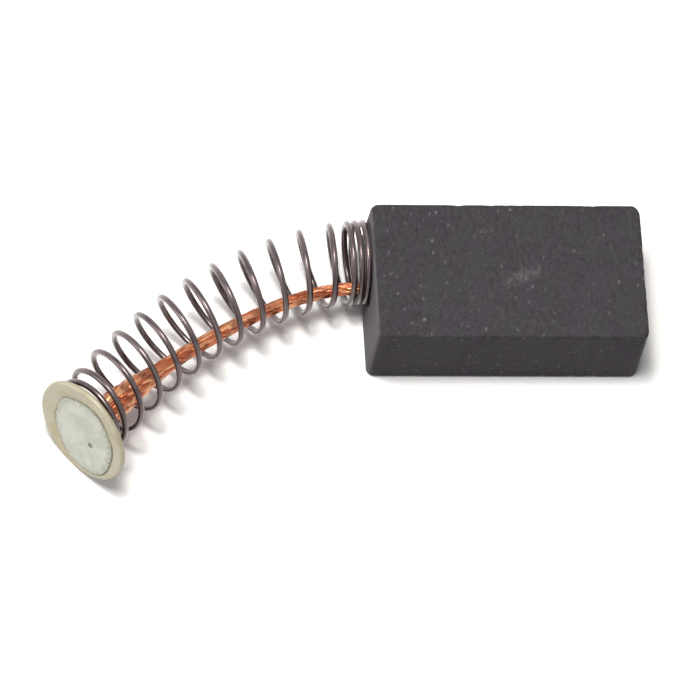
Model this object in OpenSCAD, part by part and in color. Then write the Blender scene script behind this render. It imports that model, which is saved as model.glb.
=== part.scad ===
// Carbon brush with a captive spring, a stranded copper shunt and a soldered end cap.
// Units are millimetres and Z is up. The block lies on one of its two broad sides,
// +X is the contact face and -X the face that the spring pushes on.
// The origin is the middle of the block's underside.
// The spring is shown let go, bent round towards -Y, with the cap's rim on the same floor.

/* [Build] */
// Piece to draw

/* [Carbon block] */
// Length from the spring face to the contact face
block_length = 18.3; // [10:0.1:40]
// Width across the broad side
block_width = 10; // [7:0.5:20]
// Thickness, which is the height as it lies
block_thickness = 6; // [5.9:0.1:12]
// Bevel left by the press on every edge
block_bevel = 0.2; // [0.1:0.05:0.8]

/* [Shunt socket] */
// Diameter of the blind hole drilled for the shunt
socket_diameter = 1.9; // [1.4:0.1:3]
// Depth of the hole's full diameter
socket_depth = 4.6; // [2:0.1:8]
// Angle of the drill point
drill_point_angle = 118; // [90:1:150]
// Width of the bevel round the hole's mouth
socket_mouth = 0.2; // [0:0.05:0.5]
// How far the tamped powder stops short of the spring face
fill_recess = 0.25; // [0:0.05:1]
// How far the shunt reaches into the hole
shunt_depth = 4.2; // [1:0.1:7]

/* [Spring] */
// Diameter of the steel wire
wire_diameter = 0.42; // [0.3:0.01:0.7]
// Diameter of the coil, measured to the middle of the wire
coil_diameter = 5.31; // [4.5:0.01:8]
// Turns from one cut end of the wire to the other
total_turns = 15.05; // [8:0.05:24]
// Touching turns at the carbon
block_end_turns = 1.95; // [1:0.05:5]
// Turns over which the coil opens after them
block_end_opening = 1.45; // [0.3:0.05:3]
// Touching turns at the cap
cap_end_turns = 0.8; // [0.5:0.05:4]
// Turns over which the coil closes before them
cap_end_closing = 1.55; // [0.3:0.05:3]
// Advance of each touching turn
closed_pitch = 0.47; // [0.31:0.01:0.8]
// Advance of each open turn
open_pitch = 2.0; // [1:0.01:4]
// Where the wire starts, turned from the -Y side of the coil towards its top
wire_start_angle = 170; // [0:1:359]
// Where the coil's centre sits on the spring face, across the block
spring_seat_y = 2.0; // [-2:0.01:2]
// Height of the coil's centre on the spring face
spring_seat_z = 3.2; // [2.9:0.05:3.6]

/* [Bend of the spring] */
// Length of the straight pull at the start of the bend
bend_start_pull = 2.2; // [0:0.1:8]
// Second pull of the bend, along the block
bend_pull_x = -20; // [-30:0.1:-15]
// Second pull of the bend, across the block
bend_pull_y = 0.45; // [-6:0.05:4]
// Second pull of the bend, height
bend_pull_z = 4.15; // [2.9:0.05:6]
// End of the bend, along the block
bend_end_x = -28.45; // [-36:0.05:-20]
// End of the bend, across the block
bend_end_y = -10; // [-16:0.1:0]
// End of the bend, height
bend_end_z = 4.05; // [3:0.05:8]
// Lean of the first turn towards -Y, in degrees
start_lean = 3.5; // [0:0.5:5]
// How soon the turns lean round, in degrees
early_lean = 20; // [0:1:60]
// How far the turns lean round before the cap, in degrees
late_lean = 48; // [0:1:80]
// How far the turns look up along the first half of the bend, in degrees
early_lift = -8.5; // [-15:0.5:15]
// How far the turns look up before the cap, in degrees
late_lift = -8; // [-15:0.5:15]

/* [End cap] */
// Diameter of the flange
cap_diameter = 7.5; // [5:0.1:14]
// Thickness of the sheet
cap_thickness = 0.4; // [0.2:0.05:1]
// Way the cap faces, turned from -X towards -Y, in degrees
cap_turn = 40.5; // [0:0.5:80]
// How far the cap looks up, in degrees
cap_lift = 9.5; // [0:0.5:20]
// How far the flange sits sideways off the coil
cap_shift_side = 0.33; // [-0.6:0.01:0.6]
// How far the flange sits below the coil's centre
cap_drop = 0.46; // [0:0.01:0.6]
// Outside diameter of the cup drawn into the spring
cup_diameter = 3.1; // [2:0.1:4]
// Depth of the cup behind the flange
cup_depth = 0.9; // [0.5:0.05:3]
// Bevel round the flange and the cup
cap_bevel = 0.08; // [0.02:0.01:0.15]

/* [Shunt] */
// Diameter of the rope where it leaves the carbon
rope_diameter = 0.84; // [0.5:0.01:0.86]
// Diameter of the rope at the cap, where its strands spread
rope_cap_diameter = 1.24; // [0.5:0.01:1.5]
// Number of strand bundles twisted together
rope_bundles = 7; // [3:1:9]
// Depth of the grooves between bundles, as a share of the rope's radius
rope_groove = 0.17; // [0.05:0.01:0.3]
// Length in which the bundles go once round
rope_lay = 7.5; // [4:0.1:20]
// First pull of the rope's bend, away from the spring face
rope_start_pull = 4; // [1:0.1:10]
// First pull of the rope's bend, across the block
rope_start_swing = 1.05; // [-2:0.05:2]
// First pull of the rope's bend, downwards
rope_start_dip = 0.45; // [0:0.05:1]
// Second pull of the rope's bend, along the block
rope_pull_x = -22.1; // [-30:0.1:-12]
// Second pull of the rope's bend, across the block
rope_pull_y = -4.1; // [-10:0.1:2]
// Second pull of the rope's bend, height
rope_pull_z = 3.05; // [2.5:0.05:5]

/* [Solder] */
// Mean radius of the pool on the cap's face
pool_radius = 3.15; // [1.5:0.05:3.4]
// Height of the pool above the face
pool_height = 0.12; // [0.05:0.01:0.4]
// How far the pool runs off centre, sideways and down
pool_shift = [0.28, -0.36];
// Where the pit is in the pool, sideways and up
pit_place = [1.1, -0.2];
// Diameter of the pit at the surface
pit_diameter = 0.55; // [0.2:0.05:1]

/* [Hidden] */
round_facets = 64;
wire_sides = 8;
steps_per_turn = 22;
bend_steps = 120;
rope_rings = 60;
rope_points_per_bundle = 4;
pool_points = 72;
fit_gap = 0.01;
spring_face_x = -block_length / 2;
block_axis_z = block_thickness / 2;
cup_wall = cap_thickness;
cup_hole_radius = rope_cap_diameter / 2 + 0.05;
spring_steps = ceil(total_turns * steps_per_turn);
cap_end_start = total_turns - cap_end_turns;

function unit(v) = v / norm(v);
function blend(a, b, share) = a + (b - a) * share;
function share_of(x) = max(0, min(1, x));
function bezier(p, u) =
    pow(1 - u, 3) * p[0] + 3 * pow(1 - u, 2) * u * p[1] + 3 * (1 - u) * u * u * p[2] + pow(u, 3) * p[3];
// Distances along a list of points, measured from the first
function running_lengths(p) =
    [for (i = 0, s = 0; i < len(p); s = s + (i + 1 < len(p) ? norm(p[i + 1] - p[i]) : 0), i = i + 1) s];
function column(lengths, p, axis) = [for (i = [0 : len(p) - 1]) [lengths[i], p[i][axis]]];
function tables_of(p) = let (s = running_lengths(p)) [for (axis = [0 : 2]) column(s, p, axis)];
function point_at(tables, s) = [for (axis = [0 : 2]) lookup(s, tables[axis])];

// The cap's own directions: outwards, sideways (level) and upwards
cap_out = [-cos(cap_turn) * cos(cap_lift), -sin(cap_turn) * cos(cap_lift), sin(cap_lift)];
cap_side = unit(cross([0, 0, 1], cap_out));
cap_up = cross(cap_out, cap_side);

// Middle line of the spring: one long bend from the carbon to the cap
coil_radius = coil_diameter / 2;
wire_radius = wire_diameter / 2;
spring_start = [spring_face_x, spring_seat_y, spring_seat_z];
bend_pulls = [
    spring_start,
    spring_start - [bend_start_pull, 0, 0],
    [bend_pull_x, bend_pull_y, bend_pull_z],
    [bend_end_x, bend_end_y, bend_end_z]
];
middle_line = [for (i = [0 : bend_steps]) bezier(bend_pulls, i / bend_steps)];
middle_tables = tables_of(middle_line);
middle_length = running_lengths(middle_line)[len(middle_line) - 1];
function on_middle(s) = point_at(middle_tables, min(s, middle_length)) + max(0, s - middle_length) * cap_out;

// Advance along the middle line after a number of turns: touching, opening, open, closing, touching
function ramp_area(t, a, b) = t <= a ? 0 : (t >= b ? t - (a + b) / 2 : pow(t - a, 2) / (2 * (b - a)));
function advance(t) = wire_radius + fit_gap + closed_pitch * t + (open_pitch - closed_pitch)
    * (ramp_area(t, block_end_turns, block_end_turns + block_end_opening)
    - ramp_area(t, cap_end_start - cap_end_closing, cap_end_start));
// Direction that a turn's plane faces, which takes its own way from the carbon to the cap
leans = [start_lean, early_lean, late_lean, cap_turn];
lifts = [0, early_lift, late_lift, cap_lift];
lean_length = advance(cap_end_start);
function coil_out(s) = let (f = share_of(s / lean_length), turn = bezier(leans, f), lift = bezier(lifts, f))
    [-cos(turn) * cos(lift), -sin(turn) * cos(lift), sin(lift)];
function around_coil(s, angle) = let (out = coil_out(s), side = unit(cross([0, 0, 1], out)), up = cross(out, side))
    cos(angle) * side + sin(angle) * up;
// The coil is wound left-handed: it turns back as it goes out to the cap
function wire_point(t) = let (s = advance(t), angle = wire_start_angle - 360 * t)
    on_middle(s) + coil_radius * around_coil(s, angle);
function wire_direction(t) = let (step = 0.002) unit(wire_point(t + step) - wire_point(t - step));
function wire_outward(t) = let (along = wire_direction(t), raw = around_coil(advance(t), wire_start_angle - 360 * t))
    unit(raw - (raw * along) * along);

// Where the cap stands on the end of the spring
cap_seat = on_middle(advance(total_turns) + wire_radius + fit_gap);
cap_centre = cap_seat + cap_shift_side * cap_side - cap_drop * cap_up;

// Middle line of the rope, from the bottom of its hole to the solder in the cap's cup
rope_root = [spring_face_x + shunt_depth, 0, block_axis_z];
rope_leaves = [spring_face_x, 0, block_axis_z];
rope_enters = cap_centre - cup_depth * cap_out;
rope_end = cap_centre + (cap_thickness - 0.1) * cap_out;
rope_pulls = [
    rope_leaves,
    rope_leaves + [-rope_start_pull, rope_start_swing, -rope_start_dip],
    [rope_pull_x, rope_pull_y, rope_pull_z],
    rope_enters
];
rope_line = concat([rope_root], [for (i = [0 : bend_steps]) bezier(rope_pulls, i / bend_steps)], [rope_end]);
rope_tables = tables_of(rope_line);
rope_length = running_lengths(rope_line)[len(rope_line) - 1];
rope_points = rope_bundles * rope_points_per_bundle;
function rope_radius(s) = let (f = share_of((s - shunt_depth) / (rope_length - shunt_depth)))
    blend(rope_diameter, rope_cap_diameter, f * f) / 2;
// Radius of the rope's outline: high on each bundle and low in the groove between two
function bundle_radius(i) = 1 - rope_groove * (1 - cos(360 * i / rope_points_per_bundle)) / 2;
function rope_direction(s) = let (step = 0.05)
    unit(point_at(rope_tables, min(s + step, rope_length)) - point_at(rope_tables, max(s - step, 0)));

// Triangles of a closed tube made of rings of points, with flat ends
function tube_faces(rings, points) = concat(
    [for (r = [0 : rings - 2], i = [0 : points - 1], half = [0, 1])
        let (a = r * points + i, b = r * points + (i + 1) % points, c = a + points, d = b + points)
        half == 0 ? [a, c, b] : [b, c, d]],
    [[for (i = [0 : points - 1]) i]],
    [[for (i = [points - 1 : -1 : 0]) (rings - 1) * points + i]]
);

// One side of the block's outline with its corners cut off
module bevelled_rectangle(length, width) {
    x = length / 2;
    y = width / 2;
    b = block_bevel;
    polygon([
        [-x + b, -y], [x - b, -y], [x, -y + b], [x, y - b],
        [x - b, y], [-x + b, y], [-x, y - b], [-x, -y + b]
    ]);
}

// Places what is drawn with Z outwards from the back of the flange
module on_cap() {
    multmatrix([
        [cap_side.x, cap_up.x, cap_out.x, cap_centre.x],
        [cap_side.y, cap_up.y, cap_out.y, cap_centre.y],
        [cap_side.z, cap_up.z, cap_out.z, cap_centre.z],
        [0, 0, 0, 1]
    ]) children();
}

// Places what is drawn with Z running into the block from the spring face
module in_socket() {
    translate([spring_face_x, 0, block_axis_z]) rotate([0, 90, 0]) children();
}

module socket_shape(from) {
    radius = socket_diameter / 2;
    point = radius / tan(drill_point_angle / 2);
    rotate_extrude($fn = round_facets) polygon([
        [0, from], [radius, from], [radius, socket_depth], [0, socket_depth + point]
    ]);
}

// Pressed carbon block with the blind hole for the shunt
module carbon_block() {
    mouth = socket_diameter / 2 + socket_mouth;
    color([0.25, 0.24, 0.25]) difference() {
        translate([0, 0, block_axis_z]) intersection() {
            linear_extrude(block_thickness, center = true) bevelled_rectangle(block_length, block_width);
            rotate([90, 0, 0]) linear_extrude(block_width, center = true)
                bevelled_rectangle(block_length, block_thickness);
            rotate([90, 0, 90]) linear_extrude(block_length, center = true)
                bevelled_rectangle(block_width, block_thickness);
        }
        in_socket() socket_shape(-1);
        in_socket() rotate_extrude($fn = round_facets) polygon([
            [0, -0.1], [mouth + 0.1, -0.1], [mouth - socket_mouth, socket_mouth], [0, socket_mouth]
        ]);
    }
}

// Copper powder tamped round the shunt, hidden in the hole
module tamping_fill() {
    hollow = rope_diameter / 2 + fit_gap / 2;
    color([0.55, 0.33, 0.22]) difference() {
        in_socket() socket_shape(fill_recess);
        in_socket() cylinder(r = hollow, h = shunt_depth + fit_gap, $fn = round_facets);
    }
}

// Rope of twisted copper bundles, swept along its whole route
module shunt() {
    rings = [for (r = [0 : rope_rings - 1]) let (
        s = rope_length * r / (rope_rings - 1),
        along = rope_direction(s),
        side = unit(cross([0, 0, 1], along)),
        up = cross(along, side),
        twist = 360 * s / rope_lay)
        for (i = [0 : rope_points - 1]) let (angle = 360 * i / rope_points + twist)
            point_at(rope_tables, s)
            + rope_radius(s) * bundle_radius(i) * (cos(angle) * side + sin(angle) * up)
    ];
    color([0.76, 0.42, 0.24]) polyhedron(rings, tube_faces(rope_rings, rope_points), convexity = 10);
}

// Left-handed compression spring with touching turns at both ends, bent sideways
module spring() {
    rings = [for (k = [0 : spring_steps]) let (
        t = total_turns * k / spring_steps,
        centre = wire_point(t),
        outward = wire_outward(t),
        across = cross(wire_direction(t), outward))
        for (i = [0 : wire_sides - 1]) let (angle = 360 * (i + 0.5) / wire_sides)
            centre + wire_radius * (cos(angle) * outward + sin(angle) * across)
    ];
    color([0.32, 0.28, 0.27]) polyhedron(rings, tube_faces(spring_steps + 1, wire_sides), convexity = 20);
}

// Stamped flange with a cup drawn in its middle for the shunt and the spring
module end_cap() {
    flange = cap_diameter / 2;
    cup = cup_diameter / 2;
    b = cap_bevel;
    t = cap_thickness;
    color([0.78, 0.77, 0.72]) on_cap() rotate_extrude($fn = 96) polygon([
        [cup_hole_radius, -cup_depth], [cup - b, -cup_depth], [cup, b - cup_depth], [cup, 0],
        [flange - b, 0], [flange, b], [flange, t - b], [flange - b, t],
        [cup - cup_wall + b, t], [cup - cup_wall, t - b], [cup - cup_wall, cup_wall - cup_depth],
        [cup_hole_radius, cup_wall - cup_depth]
    ]);
}

// Solder that fills the cup round the shunt's end and spreads over the cap's face
module solder() {
    cup = cup_diameter / 2 - cup_wall;
    b = cap_bevel;
    t = cap_thickness;
    rope = rope_cap_diameter / 2 + fit_gap / 2;
    top = t + pool_height;
    color([0.84, 0.84, 0.81]) on_cap() difference() {
        union() {
            rotate_extrude($fn = round_facets) polygon([
                [0, cup_wall - cup_depth], [cup, cup_wall - cup_depth], [cup, t - b], [cup + b, t],
                [cup + b, t + pool_height / 2], [0, t + pool_height / 2]
            ]);
            translate([pool_shift[0], pool_shift[1], t]) linear_extrude(pool_height) polygon([
                for (i = [0 : pool_points - 1]) let (a = 360 * i / pool_points)
                    pool_radius * (1 + 0.012 * sin(3 * a + 40) + 0.008 * sin(7 * a) + 0.006 * cos(11 * a))
                    * [cos(a), sin(a)]
            ]);
        }
        translate([0, 0, -cup_depth]) cylinder(r = rope, h = cup_depth + t - 0.1 + fit_gap, $fn = round_facets);
        translate([pit_place[0], pit_place[1], top - 0.08])
            cylinder(r1 = pit_diameter / 4, r2 = pit_diameter / 2, h = 0.08 + fit_gap, $fn = 24);
    }
}

carbon_block();
tamping_fill();
shunt();
spring();
end_cap();
solder();
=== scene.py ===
import math
import bmesh
import bpy
from mathutils import Matrix, Vector, noise


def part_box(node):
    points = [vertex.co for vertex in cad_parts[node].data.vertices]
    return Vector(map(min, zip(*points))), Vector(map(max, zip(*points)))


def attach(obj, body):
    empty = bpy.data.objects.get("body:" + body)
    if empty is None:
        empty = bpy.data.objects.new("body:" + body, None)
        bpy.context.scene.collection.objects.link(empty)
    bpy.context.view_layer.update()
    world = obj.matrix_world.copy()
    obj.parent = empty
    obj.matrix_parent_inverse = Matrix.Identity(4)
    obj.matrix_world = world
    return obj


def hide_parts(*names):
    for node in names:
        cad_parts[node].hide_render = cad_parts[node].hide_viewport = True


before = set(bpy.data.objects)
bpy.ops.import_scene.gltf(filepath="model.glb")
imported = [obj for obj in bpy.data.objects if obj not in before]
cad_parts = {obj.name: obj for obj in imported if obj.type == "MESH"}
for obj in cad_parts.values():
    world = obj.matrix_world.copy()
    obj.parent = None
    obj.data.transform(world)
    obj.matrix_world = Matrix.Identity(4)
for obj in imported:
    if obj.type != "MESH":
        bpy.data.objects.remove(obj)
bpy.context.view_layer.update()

millimetres = 1000  # in a metre: finishes and noises are written in millimetres
samePlace = 1e-8  # points closer than this are one point
bendSteps = 120  # straight steps that a bend is worked out in


# A value on its way through a node tree. Sums written with it add their own nodes.
class Signal:
    def __init__(self, graph, socket):
        self.graph = graph
        self.socket = socket

    def isVector(self):
        return self.socket.type in ("VECTOR", "RGBA")

    def of(self, outputName):
        return Signal(self.graph, pickSocket(self.socket.node.outputs, outputName))

    def __add__(self, other):
        return self.graph.sum("ADD", self, other)

    def __radd__(self, other):
        return self.graph.sum("ADD", other, self)

    def __sub__(self, other):
        return self.graph.sum("SUBTRACT", self, other)

    def __rsub__(self, other):
        return self.graph.sum("SUBTRACT", other, self)

    def __mul__(self, other):
        return self.graph.sum("MULTIPLY", self, other)

    def __rmul__(self, other):
        return self.graph.sum("MULTIPLY", other, self)

    def __truediv__(self, other):
        return self.graph.sum("DIVIDE", self, other)

    def __rtruediv__(self, other):
        return self.graph.sum("DIVIDE", other, self)

    def __neg__(self):
        return self * -1

    def __pow__(self, other):
        return self.graph.maths("POWER", self, other)

    def least(self, other):
        return self.graph.maths("MINIMUM", self, other)

    def most(self, other):
        return self.graph.maths("MAXIMUM", self, other)

    def within(self, low, high):
        return self.most(low).least(high)

    def cosine(self):
        return self.graph.maths("COSINE", self)

    def sine(self):
        return self.graph.maths("SINE", self)

    def floor(self):
        return self.graph.maths("FLOOR", self)

    # 0 below the first value, 1 above the second, with a soft way between
    def rising(self, low, high):
        return self.graph.node("ShaderNodeMapRange", {"interpolation_type": "SMOOTHSTEP"},
                               {"Value": self, "From Min": low, "From Max": high})


def pickSocket(sockets, key):
    if isinstance(key, int):
        return sockets[key]
    named = [socket for socket in sockets if socket.name == key]
    return next((socket for socket in named if socket.enabled), named[0])


# Adds nodes to one tree: settings first, then the values or links of the sockets
class Graph:
    def __init__(self, tree):
        self.tree = tree

    def feed(self, socket, value):
        if isinstance(value, Signal):
            self.tree.links.new(value.socket, socket)
        else:
            socket.default_value = value

    def node(self, kind, settings=None, inputs=None, output=0):
        made = self.tree.nodes.new(kind)
        for name, value in (settings or {}).items():
            setattr(made, name, value)
        for name, value in (inputs or {}).items():
            self.feed(pickSocket(made.inputs, name), value)
        return Signal(self, pickSocket(made.outputs, output))

    def maths(self, operation, *values):
        return self.node("ShaderNodeMath", {"operation": operation}, dict(enumerate(values)))

    def vectors(self, operation, *values):
        return self.node("ShaderNodeVectorMath", {"operation": operation}, dict(enumerate(values)))

    def sum(self, operation, first, second):
        wide = [isinstance(value, tuple) or isinstance(value, Signal) and value.isVector()
                for value in (first, second)]
        if not any(wide):
            return self.maths(operation, first, second)
        if all(wide):
            return self.vectors(operation, first, second)
        vector, number = (first, second) if wide[0] else (second, first)
        if operation == "MULTIPLY":
            return self.node("ShaderNodeVectorMath", {"operation": "SCALE"}, {0: vector, "Scale": number})
        if not isinstance(number, Signal):
            number = (number, number, number)
        return self.vectors(operation, *((vector, number) if wide[0] else (number, vector)))

    def vector(self, x, y, z):
        return self.node("ShaderNodeCombineXYZ", None, {0: x, 1: y, 2: z})

    def parts(self, vector):
        split = self.node("ShaderNodeSeparateXYZ", None, {0: vector})
        return split.of("X"), split.of("Y"), split.of("Z")

    def mixColour(self, share, first, second):
        colours = [value if isinstance(value, Signal) else (*value, 1) for value in (first, second)]
        return self.node("ShaderNodeMix", {"data_type": "RGBA"},
                         {"Factor": share, "A": colours[0], "B": colours[1]}, "Result")

    def noise(self, place, scale, detail, roughness, warp=0):
        return self.node("ShaderNodeTexNoise", None,
                         {"Vector": place, "Scale": scale, "Detail": detail,
                          "Roughness": roughness, "Distortion": warp})

    # A number that a piece's mesh carries from point to point
    def carried(self, name):
        return self.node("ShaderNodeAttribute", {"attribute_name": name}, output="Fac")


# A place or a value on a cubic curve, in numbers or in a tree
def bezier(pulls, share):
    rest = 1 - share
    return (rest ** 3 * pulls[0] + rest * rest * share * 3 * pulls[1]
            + rest * share * share * 3 * pulls[2] + share ** 3 * pulls[3])


# A geometry tree with named inputs, ending in Realize Instances and Set Material
class PieceTree(Graph):
    def __init__(self, name, inputs, material):
        super().__init__(bpy.data.node_groups.new(name, "GeometryNodeTree"))
        self.material = material
        face = self.tree.interface
        face.new_socket("Geometry", in_out="INPUT", socket_type="NodeSocketGeometry")
        face.new_socket("Geometry", in_out="OUTPUT", socket_type="NodeSocketGeometry")
        self.values = {}
        for label, value in inputs.items():
            kind = {Vector: "Vector", int: "Int", float: "Float"}[type(value)]
            socket = face.new_socket(label, in_out="INPUT", socket_type="NodeSocket" + kind)
            self.values[socket.identifier] = tuple(value) if kind == "Vector" else value
        self.entry = self.tree.nodes.new("NodeGroupInput")

    def given(self, label):
        return Signal(self, self.entry.outputs[label])

    # A row of points on one short spline, ready to be moved into place
    def dots(self, count):
        line = self.node("GeometryNodeCurvePrimitiveLine", None, {"End": (0.01, 0, 0)})
        return self.node("GeometryNodeResampleCurve", None, {"Curve": line, "Count": count})

    # A bend through four named inputs, and its length
    def bend(self, labels):
        ends = dict(zip(("Start", "Start Handle", "End Handle", "End"), map(self.given, labels)))
        curve = self.node("GeometryNodeCurvePrimitiveBezierSegment", {"mode": "POSITION"},
                          {"Resolution": bendSteps, **ends})
        return curve, self.node("GeometryNodeCurveLength", None, {"Curve": curve})

    # The place at a distance along a bend
    def placeOn(self, bend, distance):
        return self.node("GeometryNodeSampleCurve", {"mode": "LENGTH", "use_all_curves": True},
                         {"Curves": bend, "Length": distance}, "Position")

    # The direction towards the cap, from how far it leans round and rises
    def leaning(self, lean, lift):
        return self.vector(-lean.cosine() * lift.cosine(), -lean.sine() * lift.cosine(), lift.sine())

    # Two directions across one that points along, the first of them level
    def across(self, along):
        side = self.vectors("NORMALIZE", self.vectors("CROSS_PRODUCT", (0, 0, 1), along))
        return side, self.vectors("CROSS_PRODUCT", along, side)

    # Gives each point a number that a finish can read
    def mark(self, geometry, name, value):
        return self.node("GeometryNodeStoreNamedAttribute", {"data_type": "FLOAT", "domain": "POINT"},
                         {"Geometry": geometry, "Name": name, "Value": value})

    def close(self, geometry):
        smooth = self.node("GeometryNodeSetShadeSmooth", None, {"Geometry": geometry, "Shade Smooth": True})
        real = self.node("GeometryNodeRealizeInstances", None, {"Geometry": smooth})
        painted = self.node("GeometryNodeSetMaterial", None, {"Geometry": real, "Material": self.material})
        self.feed(self.tree.nodes.new("NodeGroupOutput").inputs["Geometry"], painted)

    # The tree's result as a plain mesh object
    def grow(self, name):
        holder = bpy.data.objects.new(name, bpy.data.meshes.new(name + "Start"))
        bpy.context.scene.collection.objects.link(holder)
        modifier = holder.modifiers.new(name, "NODES")
        modifier.node_group = self.tree
        for identifier, value in self.values.items():
            modifier[identifier] = value
        grown = bpy.data.meshes.new_from_object(
            holder.evaluated_get(bpy.context.evaluated_depsgraph_get()))
        holder.modifiers.remove(modifier)
        grown.name = name
        holder.data = grown
        return holder


# A material with its fixed values set, and the place on the piece in millimetres
def newFinish(name, fixed):
    material = bpy.data.materials.new(name)
    material.use_nodes = True
    graph = Graph(material.node_tree)
    shader = material.node_tree.nodes["Principled BSDF"]
    for socketName, value in fixed.items():
        shader.inputs[socketName].default_value = value
    coordinates = graph.node("ShaderNodeTexCoord", output="Object")
    return material, graph, shader, coordinates * millimetres


# Joins the colour, the roughness and a bump, whose depth is in millimetres
def wearFinish(graph, shader, colour, roughness, height, bumpDepth, bumpStrength):
    bump = graph.node("ShaderNodeBump", None,
                      {"Strength": bumpStrength, "Distance": bumpDepth / millimetres, "Height": height})
    graph.feed(shader.inputs["Base Color"], colour)
    graph.feed(shader.inputs["Roughness"], roughness)
    graph.feed(shader.inputs["Normal"], bump)


# Gives a piece its finish, hangs it under the root body, and hides the CAD solids it stands in for
def addPiece(piece, material, nodeNames):
    piece.data.materials.clear()
    piece.data.materials.append(material)
    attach(piece, "root")
    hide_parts(*nodeNames)


# A new object from a function that adds faces. Only faces with more than four corners stay flat.
def meshObject(name, build):
    mesh = bpy.data.meshes.new(name)
    shape = bmesh.new()
    build(shape)
    bmesh.ops.remove_doubles(shape, verts=shape.verts, dist=samePlace)
    bmesh.ops.recalc_face_normals(shape, faces=shape.faces)
    for face in shape.faces:
        face.smooth = len(face.verts) <= 4
    shape.to_mesh(mesh)
    shape.free()
    made = bpy.data.objects.new(name, mesh)
    bpy.context.scene.collection.objects.link(made)
    return made


# Angles once round, in equal steps
def roundAngles(steps):
    return [math.tau * k / steps for k in range(steps)]


# Joins rings of points, each ring closed on itself
def bridgeRings(shape, rings):
    made = [[shape.verts.new(point) for point in ring] for ring in rings]
    for lower, upper in zip(made, made[1:]):
        for i in range(len(lower)):
            j = (i + 1) % len(lower)
            shape.faces.new((lower[i], lower[j], upper[j], upper[i]))
    return made


# The same, with both ends closed
def closedRings(shape, rings):
    made = bridgeRings(shape, rings)
    shape.faces.new(made[-1])
    shape.faces.new(list(reversed(made[0])))


print("finishes")


def carbonFinish():
    look = {
        "base": (0.046, 0.041, 0.049),
        "dust": (0.075, 0.071, 0.073),
        "deep": (0.024, 0.019, 0.027),
        "fleck": (0.27, 0.25, 0.24),
        "sawnAndSideLit": (0.185, 0.172, 0.181),
        "violet": (0.061, 0.049, 0.067),
        "moss": (0.056, 0.058, 0.055),
        "fleckScale": 2.4,  # cells to a millimetre
        "fleckStretch": (1, 0.7, 1),
        "scuffMiddle": (0.9, -0.4, 6.0),  # a paler rubbed streak on the upper side, in millimetres
        "scuffLength": 1.9,
        "scuffWidth": 0.6,
        "scuffTurn": 0.45,
        "sawnRange": (-8.98, -9.13),  # where the sawn face begins, in millimetres
    }
    material, graph, shader, place = newFinish("pressedCarbon", {"Specular IOR Level": 0.2})
    along, across = graph.parts(place)[:2]
    grain = graph.noise(place * (3.4, 1.9, 3.0), scale=1, detail=4, roughness=0.7)
    cloud = graph.noise(place, scale=0.33, detail=3, roughness=0.6, warp=0.4)
    fine = graph.noise(place, scale=5.0, detail=3, roughness=0.75)
    tint = graph.noise(place * (1.3, 0.9, 1.3), scale=0.7, detail=3, roughness=0.6)
    colour = graph.mixColour(grain.rising(0.40, 0.66), look["base"], look["dust"])
    colour = graph.mixColour(cloud.rising(0.62, 0.38) * 0.22, colour, look["deep"])
    colour = graph.mixColour(tint.rising(0.50, 0.62) * 0.7, colour, look["violet"])
    colour = graph.mixColour(tint.rising(0.50, 0.38) * 0.6, colour, look["moss"])
    colour = graph.mixColour(fine.rising(0.46, 0.30) * 0.8, colour, look["deep"])
    # Bright graphite flecks of several sizes, closer together in some places than in others
    crowd = (tint - 0.5) * 0.8 - across * 0.02 - along * 0.008
    cells = graph.node("ShaderNodeTexVoronoi", None, {
        "Vector": (place + fine * 0.25) * look["fleckStretch"], "Scale": look["fleckScale"]})
    chance = graph.parts(cells.of("Color"))[0]
    fleck = (cells.of("Distance").rising(0.36, 0.06) * (chance + crowd).rising(0.62, 1.0)
             * grain.rising(0.40, 0.6))
    colour = graph.mixColour(fleck * 0.7, colour, look["fleck"])
    # The rubbed streak, an oval that fades outwards and stays on the upper side
    sideways, upward, above = graph.parts(place - look["scuffMiddle"])
    turnedX, turnedY = math.cos(look["scuffTurn"]), math.sin(look["scuffTurn"])
    alongScuff = (sideways * turnedX + upward * turnedY) / look["scuffLength"]
    overScuff = (upward * turnedX - sideways * turnedY) / look["scuffWidth"]
    scuff = (1 - alongScuff * alongScuff - overScuff * overScuff).most(0) * above.rising(-0.3, -0.05)
    colour = graph.mixColour(scuff * (0.05 + grain.rising(0.38, 0.62) * 0.25), colour, look["fleck"])
    # Dark pits
    pits = graph.noise(place * (1.6, 1.0, 1.6), scale=1.7, detail=2, roughness=0.6).rising(0.36, 0.27)
    colour = graph.mixColour(pits * 0.6, colour, look["deep"])
    # The spring face is paler than the pressed sides: partly its sawn surface, and partly painted light for
    # the light that falls on that side
    sideLitSawnFace = along.rising(*look["sawnRange"])
    colour = graph.mixColour(sideLitSawnFace * (0.55 + grain * 0.45), colour, look["sawnAndSideLit"])
    wearFinish(graph, shader, colour, 0.62 + grain * 0.2 - fleck * 0.25,
               grain * 0.5 + fine * 0.7, bumpDepth=0.05, bumpStrength=0.55)
    return material


def springFinish():
    look = {
        "oxide": (0.062, 0.034, 0.041),
        "worn": (0.27, 0.225, 0.195),
        "dark": (0.028, 0.014, 0.020),
    }
    material, graph, shader, place = newFinish("patentedWire", {
        "Metallic": 0.75, "Coat Weight": 1.0, "Coat Roughness": 0.26})
    around = graph.carried("wireAround") * math.tau
    # Drawing streaks that run along the wire, on a tube that is opened out by its own attributes
    unwound = graph.vector(around.cosine() * 2.2, around.sine() * 2.2, graph.carried("wireTurn") * 2.0)
    streak = graph.noise(unwound, scale=1.6, detail=3, roughness=0.6)
    patch = graph.noise(place, scale=0.9, detail=3, roughness=0.6)
    colour = graph.mixColour(streak.rising(0.44, 0.68) * 0.6, look["oxide"], look["worn"])
    colour = graph.mixColour(patch.rising(0.52, 0.70) * 0.6, colour, look["dark"])
    wearFinish(graph, shader, colour, 0.22 + streak * 0.12, streak, bumpDepth=0.003, bumpStrength=0.15)
    return material


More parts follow.
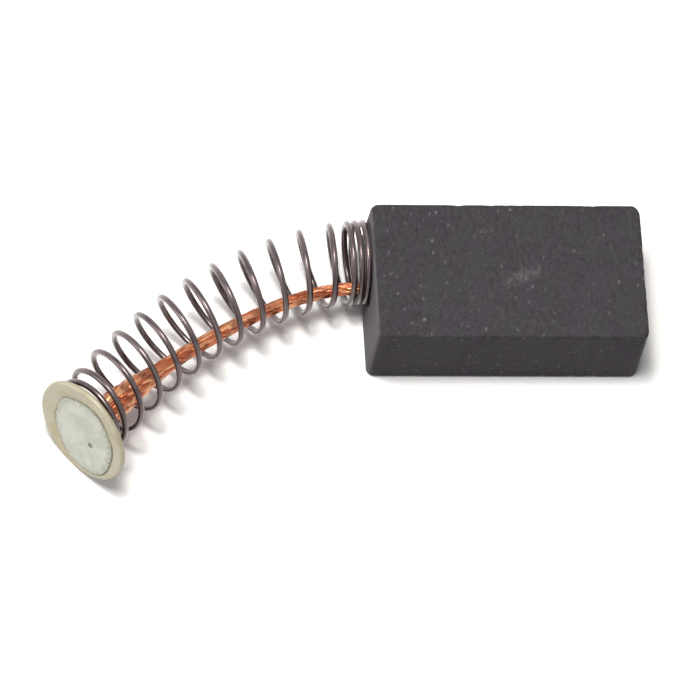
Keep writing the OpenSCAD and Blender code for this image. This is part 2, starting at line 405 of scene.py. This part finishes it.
def copperFinish():
    look = {
        "bright": (0.93, 0.52, 0.27),
        "plain": (0.47, 0.115, 0.036),
        "tarnish": (0.20, 0.038, 0.014),
    }
    material, graph, shader, place = newFinish("copperStrand", {
        "Metallic": 1.0, "Coat Weight": 0.7, "Coat Roughness": 0.22})
    own = graph.carried("strandShade")
    patch = graph.noise(place, scale=0.9, detail=3, roughness=0.55)
    colour = graph.mixColour(own.rising(0.35, 1.0) * 0.75, look["plain"], look["bright"])
    colour = graph.mixColour(patch.rising(0.48, 0.64) * 0.7, colour, look["tarnish"])
    wearFinish(graph, shader, colour, 0.24 + patch * 0.16, patch, bumpDepth=0.003, bumpStrength=0.1)
    return material


def capFinish():
    look = {
        "plate": (0.49, 0.455, 0.34),
        "stain": (0.43, 0.385, 0.245),
        "edge": (0.62, 0.60, 0.51),
    }
    material, graph, shader, place = newFinish("dullTinPlate", {"Metallic": 0.35})
    cloud = graph.noise(place, scale=0.55, detail=4, roughness=0.6, warp=0.5)
    fine = graph.noise(place, scale=5.0, detail=3, roughness=0.6)
    colour = graph.mixColour(cloud.rising(0.45, 0.68) * 0.8, look["plate"], look["stain"])
    colour = graph.mixColour(fine.rising(0.52, 0.72) * 0.6, colour, look["edge"])
    wearFinish(graph, shader, colour, 0.42 + cloud * 0.2, fine + cloud, bumpDepth=0.03, bumpStrength=0.35)
    return material


def solderFinish():
    look = {
        "tin": (0.64, 0.64, 0.585),
        "grey": (0.47, 0.49, 0.43),
        "moss": (0.30, 0.315, 0.22),
        "seam": (0.17, 0.150, 0.095),
        "pit": (0.09, 0.09, 0.07),
    }
    material, graph, shader, place = newFinish("coolSolder", {"Metallic": 0.4})
    edge = graph.carried("poolShare")
    cloud = graph.noise(place, scale=0.75, detail=3, roughness=0.55, warp=0.2)
    fine = graph.noise(place, scale=5.0, detail=3, roughness=0.65)
    colour = graph.mixColour(cloud.rising(0.40, 0.62) * 0.6, look["grey"], look["tin"])
    colour = graph.mixColour(fine.rising(0.56, 0.74) * 0.35, colour, look["grey"])
    # Dull flux round the rim, a brown seam against the cap, and painted shade in the pit
    rim = (edge + (cloud - 0.5) * 0.16).rising(0.78, 0.93)
    colour = graph.mixColour(rim * fine.rising(0.40, 0.60) * 0.8, colour, look["moss"])
    seam = (edge + (cloud - 0.5) * 0.06).rising(0.93, 0.985)
    colour = graph.mixColour(seam * (0.35 + cloud.rising(0.35, 0.6) * 0.5), colour, look["seam"])
    # Painted shade in the pit, darkest at its middle and fading out round it
    pitPlace = tuple(onCap(*solderPool["pitPlace"], endCap["thickness"]) * millimetres)
    fromPit = graph.vectors("DISTANCE", place + (fine - 0.5) * 0.3, pitPlace).of("Value")
    colour = graph.mixColour(fromPit.rising(0.30, 0.16) * 0.75, colour, look["pit"])
    wearFinish(graph, shader, colour, 0.36 + cloud * 0.2 + seam * 0.2,
               cloud + fine * 0.6, bumpDepth=0.05, bumpStrength=0.4)
    return material


def tampingFinish():
    look = {
        "copper": (0.42, 0.20, 0.11),
        "carbon": (0.05, 0.045, 0.045),
        "glint": (0.85, 0.5, 0.3),
        "grainScale": 9.0,  # grains to a millimetre
    }
    material, graph, shader, place = newFinish("tampedPowder", {"Metallic": 0.5})
    grains = graph.node("ShaderNodeTexVoronoi", None, {"Vector": place, "Scale": look["grainScale"]})
    shade = graph.parts(grains.of("Color"))[0]
    colour = graph.mixColour(shade.rising(0.35, 0.65), look["carbon"], look["copper"])
    colour = graph.mixColour(shade.rising(0.93, 0.97), colour, look["glint"])
    wearFinish(graph, shader, colour, 0.75 - shade * 0.3,
               1 - grains.of("Distance"), bumpDepth=0.06, bumpStrength=0.8)
    return material


print("carbon block")
carbonBlock = {
    "spotSpacing": 0.00016,  # distance between points along an edge
    "contactCorner": 0.00062,  # radius of the standing corners at the contact face
    "springCorner": 0.00055,
    "leastCorner": 0.00004,  # what stays of a corner where the outline is drawn in
    "cornerSteps": 12,
    "lyingEdge": 0.00024,  # radius round the two broad sides
    "lyingSteps": 6,
    "standingBand": 0.0001,  # narrow strips of faces that keep the rounding on the edge
    "broadBand": 0.00015,
    "sawLean": 0.00015,  # how far the spring face leans out at the bottom
    "sawReach": 0.003,  # and how far along the block that fades out
    "chipDepth": 0.00005,
    "chipSize": 0.0009,
    "smallChipSize": 0.3,  # these two are shares of the large chips'
    "smallChipDepth": 0.5,
    "chipsFrom": 0.1,  # more leaves more of the edge whole
    "chipReach": 1.2,  # in radii of the edge
    "socketDiameter": 0.0019,
    "socketDepth": 0.0046,
    "socketSteps": 64,
    "drillPoint": 0.00056943,  # length of the cone at the bottom
    "drillTip": 0.00001,
    "mouthBevel": 0.0002,
    "cutterRise": 0.0004,  # how far the cutter stands out of the face
}


# Closed outline of the block's plan, drawn in by a distance, always with as many points
def blockOutline(lo, hi, inset):
    corners = [
        (hi.x, hi.y, carbonBlock["contactCorner"], 0), (lo.x, hi.y, carbonBlock["springCorner"], 90),
        (lo.x, lo.y, carbonBlock["springCorner"], 180), (hi.x, lo.y, carbonBlock["contactCorner"], 270),
    ]
    steps = carbonBlock["cornerSteps"]
    arcs = []
    for x, y, radius, start in corners:
        middle = Vector((x - math.copysign(radius, x), y - math.copysign(radius, y)))
        reach = max(radius - inset, carbonBlock["leastCorner"])
        turns = [math.radians(start + 90 * k / steps) for k in range(steps + 1)]
        arcs.append([middle + reach * Vector((math.cos(a), math.sin(a))) for a in turns])
    points = []
    spots = int((hi - lo).length / 2 / carbonBlock["spotSpacing"])
    for arc, following in zip(arcs, arcs[1:] + arcs[:1]):
        points += arc
        points += [arc[-1].lerp(following[0], k / spots) for k in range(1, spots)]
    return points


def carveBlock(shape):
    lo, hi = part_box("carbon_block")
    radius, steps = carbonBlock["lyingEdge"], carbonBlock["lyingSteps"]
    quarter = [math.radians(90 * k / steps) for k in range(steps + 1)]
    rounding = [(radius * (1 - math.sin(a)), radius * (1 - math.cos(a))) for a in quarter]
    strip, broad = radius + carbonBlock["standingBand"], radius + carbonBlock["broadBand"]
    rings = [(lo.z, broad)]
    rings += [(lo.z + up, inset) for inset, up in rounding]
    rings += [(lo.z + strip, 0), (hi.z - strip, 0)]
    rings += [(hi.z - up, inset) for inset, up in reversed(rounding)]
    rings += [(hi.z, broad)]
    closedRings(shape, [[Vector((p.x, p.y, z)) for p in blockOutline(lo, hi, inset)] for z, inset in rings])
    # Small losses along the edges, deepest where two noises agree
    middle, half = (lo + hi) / 2, (hi - lo) / 2
    reach, size = radius * carbonBlock["chipReach"], carbonBlock["chipSize"]
    for vertex in shape.verts:
        offset = vertex.co - middle
        gaps = [half[i] - abs(offset[i]) for i in range(3)]
        if sorted(gaps)[1] > reach:
            continue
        loss = noise.noise(vertex.co / size) + carbonBlock["smallChipDepth"] * noise.noise(
            vertex.co / (size * carbonBlock["smallChipSize"]))
        depth = carbonBlock["chipDepth"] * max(0, loss - carbonBlock["chipsFrom"])
        vertex.co -= Vector([math.copysign(depth, way) if gap < reach else 0
                             for way, gap in zip(offset, gaps)])
    for vertex in shape.verts:
        near = max(0, (lo.x + carbonBlock["sawReach"] - vertex.co.x) / carbonBlock["sawReach"])
        vertex.co.x -= carbonBlock["sawLean"] * (1 - vertex.co.z / hi.z) * near


def socketCutter(shape):
    lo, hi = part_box("carbon_block")
    radius, depth = carbonBlock["socketDiameter"] / 2, carbonBlock["socketDepth"]
    bevel, rise = carbonBlock["mouthBevel"], carbonBlock["cutterRise"]
    profile = [(-rise, radius + bevel + rise), (bevel, radius), (depth, radius),
               (depth + carbonBlock["drillPoint"], carbonBlock["drillTip"])]
    closedRings(shape, [[Vector((lo.x + way, reach * math.cos(a), (lo.z + hi.z) / 2 + reach * math.sin(a)))
                         for a in roundAngles(carbonBlock["socketSteps"])] for way, reach in profile])


def makeCarbonBlock():
    block = meshObject("pressedCarbonBlock", carveBlock)
    cutter = meshObject("socketCutter", socketCutter)
    cut = block.modifiers.new("socket", "BOOLEAN")
    cut.object = cutter
    cut.solver = "EXACT"
    result = bpy.data.meshes.new_from_object(block.evaluated_get(bpy.context.evaluated_depsgraph_get()))
    block.modifiers.remove(cut)
    block.data = result
    bpy.data.objects.remove(cutter)
    addPiece(block, carbonFinish(), ["carbon_block"])


makeCarbonBlock()

print("spring")
blockLow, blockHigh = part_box("carbon_block")
coilSpring = {
    "Wire Diameter": 0.00042,
    "Coil Diameter": 0.00531,
    "Turns": 15.05,
    "Steps Per Turn": 56,
    "Wire Sides": 14,
    "Closed Turns At Block": 1.95,
    "Opening Turns": 1.45,
    "Closed Turns At Cap": 0.8,
    "Closing Turns": 1.55,
    "Closed Pitch": 0.00047,
    "Open Pitch": 0.0020,
    "Start Angle": math.radians(170),
    "Bend Start": Vector((blockLow.x, 0.0020, 0.0032)),
    "Bend Start Pull": Vector((blockLow.x - 0.0022, 0.0020, 0.0032)),
    "Bend End Pull": Vector((-0.0200, 0.00045, 0.00415)),
    "Bend End": Vector((-0.02845, -0.0100, 0.00405)),
    "Start Lean": math.radians(3.5),
    "Early Lean": math.radians(20),
    "Late Lean": math.radians(48),
    "End Lean": math.radians(40.5),
    "Early Lift": math.radians(-8.5),
    "Late Lift": math.radians(-8),
    "End Lift": math.radians(9.5),
}
bendPulls = ("Bend Start", "Bend Start Pull", "Bend End Pull", "Bend End")
wireClearance = 0.00001


# Area under a ramp that rises from 0 to 1 between two turns
def rampArea(turn, low, high):
    climbing = turn.within(low, high) - low
    return climbing * climbing / ((high - low) * 2) + (turn - high).most(0)


def springTree(material):
    tree = PieceTree("bentCoil", coilSpring, material)
    given = tree.given
    wireRadius = given("Wire Diameter") / 2
    closed = given("Closed Pitch")
    opening = given("Closed Turns At Block")
    closing = given("Turns") - given("Closed Turns At Cap")

    # Distance along the bend after a number of turns
    def advance(turn):
        opened = rampArea(turn, opening, opening + given("Opening Turns"))
        shut = rampArea(turn, closing - given("Closing Turns"), closing)
        return wireRadius + wireClearance + closed * turn + (given("Open Pitch") - closed) * (opened - shut)

    dots = tree.dots(given("Turns") * given("Steps Per Turn") + 1)
    turn = tree.node("GeometryNodeSplineParameter", output="Factor") * given("Turns")
    way = advance(turn)
    bend, bendLength = tree.bend(bendPulls)
    # The coil's axis leans round along the bend, and goes on straight behind it
    share = (way / advance(closing)).within(0, 1)
    endLean, endLift = given("End Lean"), given("End Lift")
    lean = bezier([given("Start Lean"), given("Early Lean"), given("Late Lean"), endLean], share)
    lift = bezier([0, given("Early Lift"), given("Late Lift"), endLift], share)
    out = tree.leaning(lean, lift)
    middle = tree.placeOn(bend, way) + tree.leaning(endLean, endLift) * (way - bendLength).most(0)
    side, up = tree.across(out)
    angle = given("Start Angle") - turn * math.tau
    place = middle + (side * angle.cosine() + up * angle.sine()) * (given("Coil Diameter") / 2)
    wire = tree.node("GeometryNodeSetPosition", None, {"Geometry": dots, "Position": place})
    section = tree.node("GeometryNodeCurvePrimitiveCircle", None,
                        {"Resolution": given("Wire Sides"), "Radius": wireRadius})
    sectionShare = tree.node("GeometryNodeSplineParameter", output="Factor")
    tree.close(tree.node("GeometryNodeCurveToMesh", None, {
        "Curve": tree.mark(wire, "wireTurn", turn),
        "Profile Curve": tree.mark(section, "wireAround", sectionShare), "Fill Caps": True}))
    return tree


springSteel = springFinish()
addPiece(springTree(springSteel).grow("bentSpring"), springSteel, ["spring"])

print("end cap")
endCap = {
    "centreShift": (0.00033, -0.00046),  # sideways and up from the coil's middle
    "diameter": 0.0075,
    "thickness": 0.0004,
    "cupDiameter": 0.0031,
    "cupDepth": 0.0009,
    "holeDiameter": 0.00134,
    "edgeRadius": 0.00016,
    "edgeSteps": 5,
    "edgeBand": 0.00012,  # narrow strip of faces beside the rounded edge
    "cupRoot": (0.00006, 0.00005),  # corner where the cup leaves the flange, sideways and down
    "mouthBevel": 0.0001,
    "rimWave": 0.00003,
    "rimWaves": ((1.1, 1), (3.1, 0.6)),  # how many waves, and how high
    "segments": 160,
}


# The same bend as the spring tree's, worked out here for the place of the cap
def bendPoint(distance):
    pulls = [coilSpring[label] for label in bendPulls]
    points = [bezier(pulls, k / bendSteps) for k in range(bendSteps + 1)]
    gone = 0
    for first, second in zip(points, points[1:]):
        step = (second - first).length
        if gone + step >= distance:
            return first.lerp(second, (distance - gone) / step)
        gone += step
    return points[-1] + capAxis * (distance - gone)


endLean, endLift = coilSpring["End Lean"], coilSpring["End Lift"]
capAxis = Vector((-math.cos(endLean) * math.cos(endLift), -math.sin(endLean) * math.cos(endLift),
                  math.sin(endLift)))
capSide = Vector((0, 0, 1)).cross(capAxis).normalized()
capUp = capAxis.cross(capSide)
openTurns = (coilSpring["Turns"] - coilSpring["Closed Turns At Cap"] - coilSpring["Closed Turns At Block"]
             - (coilSpring["Closing Turns"] + coilSpring["Opening Turns"]) / 2)
openedPitch = coilSpring["Open Pitch"] - coilSpring["Closed Pitch"]
springReach = (coilSpring["Wire Diameter"] + 2 * wireClearance
               + coilSpring["Closed Pitch"] * coilSpring["Turns"] + openedPitch * openTurns)
capCentre = (bendPoint(springReach) + endCap["centreShift"][0] * capSide
             + endCap["centreShift"][1] * capUp)


# Several noises added up, each given by how fine and how high it is
def layeredNoise(spot, layers):
    return sum(height * noise.noise(spot * fineness) for fineness, height in layers)


def onCap(side, up, out):
    return capCentre + side * capSide + up * capUp + out * capAxis


def shapeCap(shape):
    flange, cup = endCap["diameter"] / 2, endCap["cupDiameter"] / 2
    wall, deep, hole = endCap["thickness"], endCap["cupDepth"], endCap["holeDiameter"] / 2
    r, bevel = endCap["edgeRadius"], endCap["mouthBevel"]
    rootOut, rootDown = endCap["cupRoot"]
    arc = [math.radians(90 * k / endCap["edgeSteps"]) for k in range(endCap["edgeSteps"] + 1)]
    # Half of the cap's section, as pairs of radius and height above the flange's back
    profile = [(hole, -deep), (cup - r, -deep)]
    profile += [(cup - r + r * math.sin(a), -deep + r - r * math.cos(a)) for a in arc[1:]]
    profile += [(cup, -rootDown), (cup + rootOut, 0), (flange - r, 0)]
    profile += [(flange - r + r * math.sin(a), r - r * math.cos(a)) for a in arc[1:]]
    profile += [(flange - r + r * math.cos(a), wall - r + r * math.sin(a)) for a in arc]
    profile += [(flange - r - endCap["edgeBand"], wall), (cup - wall + bevel, wall),
                (cup - wall, wall - bevel), (cup - wall, wall - deep), (hole, wall - deep)]
    rings = []
    for a in roundAngles(endCap["segments"]):
        wave = endCap["rimWave"] * layeredNoise(Vector((math.cos(a), math.sin(a), 0.3)), endCap["rimWaves"])
        ring = []
        for radius, height in profile:
            outer = max(0, min(1, (radius - cup) / (flange - cup)))
            bent = radius - abs(wave) * outer
            ring.append(onCap(bent * math.cos(a), bent * math.sin(a), height + min(0, wave * outer * outer)))
        rings.append(ring)
    bridgeRings(shape, rings + rings[:1])


addPiece(meshObject("stampedCap", shapeCap), capFinish(), ["end_cap"])

print("solder")
solderPool = {
    # reach from its middle in eight directions, from the side round by the top
    "reach": (0.00272, 0.00290, 0.00330, 0.00315, 0.00267, 0.00250, 0.00282, 0.00298),
    "shift": (0.00028, -0.00036),
    "height": 0.00012,
    "fullness": 0.86,  # this, the next one and pitDepth are shares of the height
    "leastHeight": 0.02,
    "edgeRoundness": 10,  # more keeps it level for longer before the edge
    "ripples": ((1.3, 0.14), (3.7, 0.08)),  # how many to a millimetre, and how high
    "edgeWave": 0.0192,
    "edgeWaves": ((1.3, 1), (4.1, 0.7), (9.0, 0.4)),
    "pitPlace": (0.00105, -0.0003),
    "pitDiameter": 0.00055,
    "pitDepth": 0.7,
    "cupGap": 0.00001,  # between the solder and the cup's wall
    "rings": 60,
    "ringCrowding": 1.4,  # more brings the rings closer together at the edge
    "segments": 144,
}


def poolHeight(side, up, share):
    ripple = layeredNoise(Vector((side, up, 0.002)) * millimetres, solderPool["ripples"])
    edge = 1 - share ** solderPool["edgeRoundness"]
    fromPit = Vector((side - solderPool["pitPlace"][0], up - solderPool["pitPlace"][1])).length
    hollow = solderPool["pitDepth"] * max(0, 1 - fromPit / (solderPool["pitDiameter"] / 2))
    full = (solderPool["fullness"] + ripple) * edge - hollow
    return solderPool["height"] * max(solderPool["leastHeight"], full)


# The pool's edge at an angle, smoothly between the eight reaches
def poolReach(angle):
    reaches = solderPool["reach"]
    step = angle / math.tau * len(reaches)
    first = int(step) % len(reaches)
    share = step - int(step)
    share = share * share * (3 - 2 * share)
    even = reaches[first] * (1 - share) + reaches[(first + 1) % len(reaches)] * share
    wave = layeredNoise(Vector((math.cos(angle), math.sin(angle), 0)), solderPool["edgeWaves"])
    return even * (1 + solderPool["edgeWave"] * wave)


def shapeSolder(shape):
    wall, gap = endCap["thickness"], solderPool["cupGap"]
    plug = endCap["cupDiameter"] / 2 - wall - gap
    angles = roundAngles(solderPool["segments"])
    rings = []
    for r in range(1, solderPool["rings"] + 1):
        share = 1 - (1 - r / solderPool["rings"]) ** solderPool["ringCrowding"]
        ring = []
        for a in angles:
            reach = poolReach(a) * share
            side = solderPool["shift"][0] * share + reach * math.cos(a)
            up = solderPool["shift"][1] * share + reach * math.sin(a)
            ring.append(onCap(side, up, wall + poolHeight(side, up, share)))
        rings.append(ring)
    # Down into the cup
    for out in (wall - gap, wall - endCap["cupDepth"] + gap):
        rings.append([onCap(plug * math.cos(a), plug * math.sin(a), out) for a in angles])
    closedRings(shape, rings)


# Share of the way from the pool's middle to its edge, for the seam's colour
def markPool(piece):
    layer = piece.data.attributes.new("poolShare", "FLOAT", "POINT")
    for vertex, value in zip(piece.data.vertices, layer.data):
        local = vertex.co - capCentre
        side, up = local.dot(capSide), local.dot(capUp)
        offset = Vector((side - solderPool["shift"][0], up - solderPool["shift"][1]))
        value.value = offset.length / poolReach(math.atan2(offset.y, offset.x) % math.tau)


solderPiece = meshObject("solderPool", shapeSolder)
markPool(solderPiece)
addPiece(solderPiece, solderFinish(), ["solder"])

print("shunt")
ropeLeaves = Vector((blockLow.x, 0, (blockLow.z + blockHigh.z) / 2))
ropeEnters = capCentre - endCap["cupDepth"] * capAxis
ropeStopsShort = 0.0001  # of the cap's face, under the solder
copperShunt = {
    "Depth In Block": 0.0042,
    "Leaves": ropeLeaves,
    "Leaves Pull": Vector((ropeLeaves.x - 0.0040, 0.00105, ropeLeaves.z - 0.00045)),
    "Enters Pull": Vector((-0.0221, -0.0041, 0.00305)),
    "Enters": ropeEnters,
    "End Direction": capAxis,
    "End Length": endCap["cupDepth"] + endCap["thickness"] - ropeStopsShort,
    "Diameter": 0.00084,
    "Cap Diameter": 0.00124,
    "Bundles": 7,
    "Wires": 8,
    "Packing": 1.45,  # 1 where the bundles only touch, more where they press into each other
    "Crowding": 1.5,  # the same for the wires
    "Rope Lay": 0.0105,
    "Wire Lay": 0.0060,
    "Looseness": 0.00004,
    "Loose At Block": 0.35,  # share of the looseness that the rope has all along
    "Loose At Cap": 2.4,  # and how much more of it there is at the cap
    "Sways": Vector((420, 90, 3.7)),  # along a strand, and from strand to strand
    "Flare": 0.00085,  # how far the strands spread out before the cap
    "Flare Opens": 0.62,  # share of the free length at which that begins
    "Flare Opened": 0.90,
    "Flare Closes": 0.92,
    "Flare Closed": 0.985,
    "Steps": 200,
    "Strand Sides": 6,
    "Seed": 11,
}


def ropeTree(material):
    tree = PieceTree("twistedRope", copperShunt, material)
    given = tree.given
    copies = tree.node("GeometryNodeDuplicateElements", {"domain": "SPLINE"}, {
        "Geometry": tree.dots(given("Steps")), "Amount": given("Bundles") * given("Wires")})
    number = copies.of("Duplicate Index")
    bend, bendLength = tree.bend(("Leaves", "Leaves Pull", "Enters Pull", "Enters"))
    depth = given("Depth In Block")
    total = depth + bendLength + given("End Length")
    way = tree.node("GeometryNodeSplineParameter", output="Factor") * total
    outside = way - depth
    sample = tree.placeOn(bend, outside)
    middle = (sample + tree.vector(-outside.least(0), 0, 0)
              + given("End Direction") * (outside - bendLength).most(0))
    side, up = tree.across(sample.of("Tangent"))

    # Thicker towards the cap, and spread out just before it
    share = (outside / (total - depth)).within(0, 1)
    growth = share * share
    flare = (share.rising(given("Flare Opens"), given("Flare Opened"))
             * (1 - share.rising(given("Flare Closes"), given("Flare Closed"))))
    radius = (given("Diameter") + (given("Cap Diameter") - given("Diameter")) * growth
              + given("Flare") * flare) / 2

    # A ring of circles that touch each other, in a circle: bundles in the rope, wires in a bundle
    def ringShare(count):
        sine = math.sin(math.pi / count)
        return sine / (1 + sine)

    bundleRadius = radius * ringShare(copperShunt["Bundles"]) * given("Packing")
    wireRadius = bundleRadius * ringShare(copperShunt["Wires"])
    bundle = (number / given("Wires")).floor()
    wire = number - bundle * given("Wires")
    bundleAngle = bundle * (math.tau / copperShunt["Bundles"]) + way / given("Rope Lay") * math.tau
    wireAngle = wire * (math.tau / copperShunt["Wires"]) - way / given("Wire Lay") * math.tau
    own = tree.node("FunctionNodeRandomValue", {"data_type": "FLOAT"}, {
        "Min": 0.0, "Max": 1.0, "ID": number, "Seed": given("Seed")}, "Value")
    sway = tree.node("ShaderNodeTexNoise", {"noise_dimensions": "3D"}, {
        "Vector": tree.vector(way, own, number) * given("Sways"), "Scale": 1.0, "Detail": 1.0}, "Color")
    shake = (sway - 0.5) * (given("Looseness") * (given("Loose At Block") + growth * given("Loose At Cap")))

    def around(angle):
        return side * angle.cosine() + up * angle.sine()

    place = (middle + around(bundleAngle) * (radius - bundleRadius)
             + around(wireAngle) * (bundleRadius - wireRadius) + shake)
    strands = tree.node("GeometryNodeSetPosition", None, {"Geometry": copies, "Position": place})
    section = tree.node("GeometryNodeCurvePrimitiveCircle", None,
                        {"Resolution": given("Strand Sides"), "Radius": 1.0})
    tree.close(tree.node("GeometryNodeCurveToMesh", None, {
        "Curve": tree.mark(strands, "strandShade", own), "Profile Curve": section,
        "Scale": wireRadius * given("Crowding"), "Fill Caps": True}))
    return tree


copper = copperFinish()
addPiece(ropeTree(copper).grow("copperRope"), copper, ["shunt"])

print("tamping")
tamping = tampingFinish()
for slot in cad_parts["tamping_fill"].material_slots:
    slot.material = tamping

print("studio")
studio = {
    "horizon": 0.26,  # brightness of the surroundings at eye level
    "ceiling": 0.15,
    "heights": (0.05, 0.85),  # where the one goes over into the other, from level to overhead
    "floorSize": 3.0,
    "floorShade": 0.50,  # how much light the floor gives back to the object
    "floorSeen": 1.31,  # and how bright it looks itself, so that only deep shadows stay on it
    "lamps": [
        # way to the lamp, distance, width, power, colour
        ((-0.20, 0.02, 0.98), 0.6, 0.26, 2.35, (1.0, 0.985, 0.97)),
        ((-0.18, 0.08, 0.98), 0.6, 0.08, 0.8, (1.0, 0.94, 0.84)),
        ((-0.97, -0.10, 0.22), 0.6, 0.30, 1.15, (1.0, 0.98, 1.0)),
    ],
    "target": (-0.010694, -0.004492, 0.003),
    "azimuth": -16.861,
    "elevation": 62.528,
    "roll": 15.26,
    "distance": 0.6,
    "lens": 461.8,
    "sensor": 36,
    "clip": (0.05, 20),
}


# 1 for what the camera, a mirror or a glass sees directly
def seenDirectly(graph):
    path = graph.node("ShaderNodeLightPath", output="Is Camera Ray")
    return (path + path.of("Is Glossy Ray") + path.of("Is Transmission Ray")).least(1)


def makeWorld():
    world = bpy.data.worlds.new("studioWorld")
    bpy.context.scene.world = world
    world.use_nodes = True
    graph = Graph(world.node_tree)
    background = world.node_tree.nodes["Background"]
    background.inputs["Color"].default_value = (1, 1, 1, 1)
    height = graph.parts(graph.node("ShaderNodeTexCoord", output="Generated"))[2]
    light = studio["horizon"] + height.rising(*studio["heights"]) * (studio["ceiling"] - studio["horizon"])
    graph.feed(background.inputs["Strength"], light + seenDirectly(graph) * (1 - light))


def makeFloor():
    def build(shape):
        half = studio["floorSize"] / 2
        corners = ((-half, -half), (half, -half), (half, half), (-half, half))
        shape.faces.new([shape.verts.new((x, y, 0)) for x, y in corners])

    floor = meshObject("paperFloor", build)
    material = bpy.data.materials.new("whitePaper")
    material.use_nodes = True
    graph = Graph(material.node_tree)
    material.node_tree.nodes.remove(material.node_tree.nodes["Principled BSDF"])
    shade = studio["floorShade"] + seenDirectly(graph) * (studio["floorSeen"] - studio["floorShade"])
    paper = graph.node("ShaderNodeBsdfDiffuse", None, {"Color": graph.vector(shade, shade, shade)})
    graph.feed(material.node_tree.nodes["Material Output"].inputs["Surface"], paper)
    floor.data.materials.append(material)


def makeLamps():
    target = Vector(studio["target"])
    for number, (way, distance, width, power, colour) in enumerate(studio["lamps"]):
        light = bpy.data.lights.new(f"softLamp{number}", "AREA")
        light.shape = "DISK"
        light.size = width
        light.energy = power
        light.color = colour
        lamp = bpy.data.objects.new(light.name, light)
        lamp.location = target + Vector(way).normalized() * distance
        lamp.rotation_euler = (-Vector(way)).to_track_quat("-Z", "Y").to_euler()
        bpy.context.scene.collection.objects.link(lamp)


def makeCamera():
    azimuth, elevation, roll = (math.radians(studio[name]) for name in ("azimuth", "elevation", "roll"))
    level = Vector((math.cos(azimuth), math.sin(azimuth), 0))
    looking = Vector((-math.sin(azimuth) * math.cos(elevation), math.cos(azimuth) * math.cos(elevation),
                      -math.sin(elevation)))
    upward = level.cross(looking)
    right = math.cos(roll) * level + math.sin(roll) * upward
    top = math.cos(roll) * upward - math.sin(roll) * level
    data = bpy.data.cameras.new("studioCamera")
    data.lens = studio["lens"]
    data.sensor_width = studio["sensor"]
    data.clip_start, data.clip_end = studio["clip"]
    camera = bpy.data.objects.new("studioCamera", data)
    bpy.context.scene.collection.objects.link(camera)
    turned = Matrix((right, top, -looking)).transposed().to_4x4()
    turned.translation = Vector(studio["target"]) - looking * studio["distance"]
    camera.matrix_world = turned
    bpy.context.scene.camera = camera


makeWorld()
makeFloor()
makeLamps()
makeCamera()
bpy.context.scene.view_settings.view_transform = "Standard"

print("sizes")
bpy.context.view_layer.update()
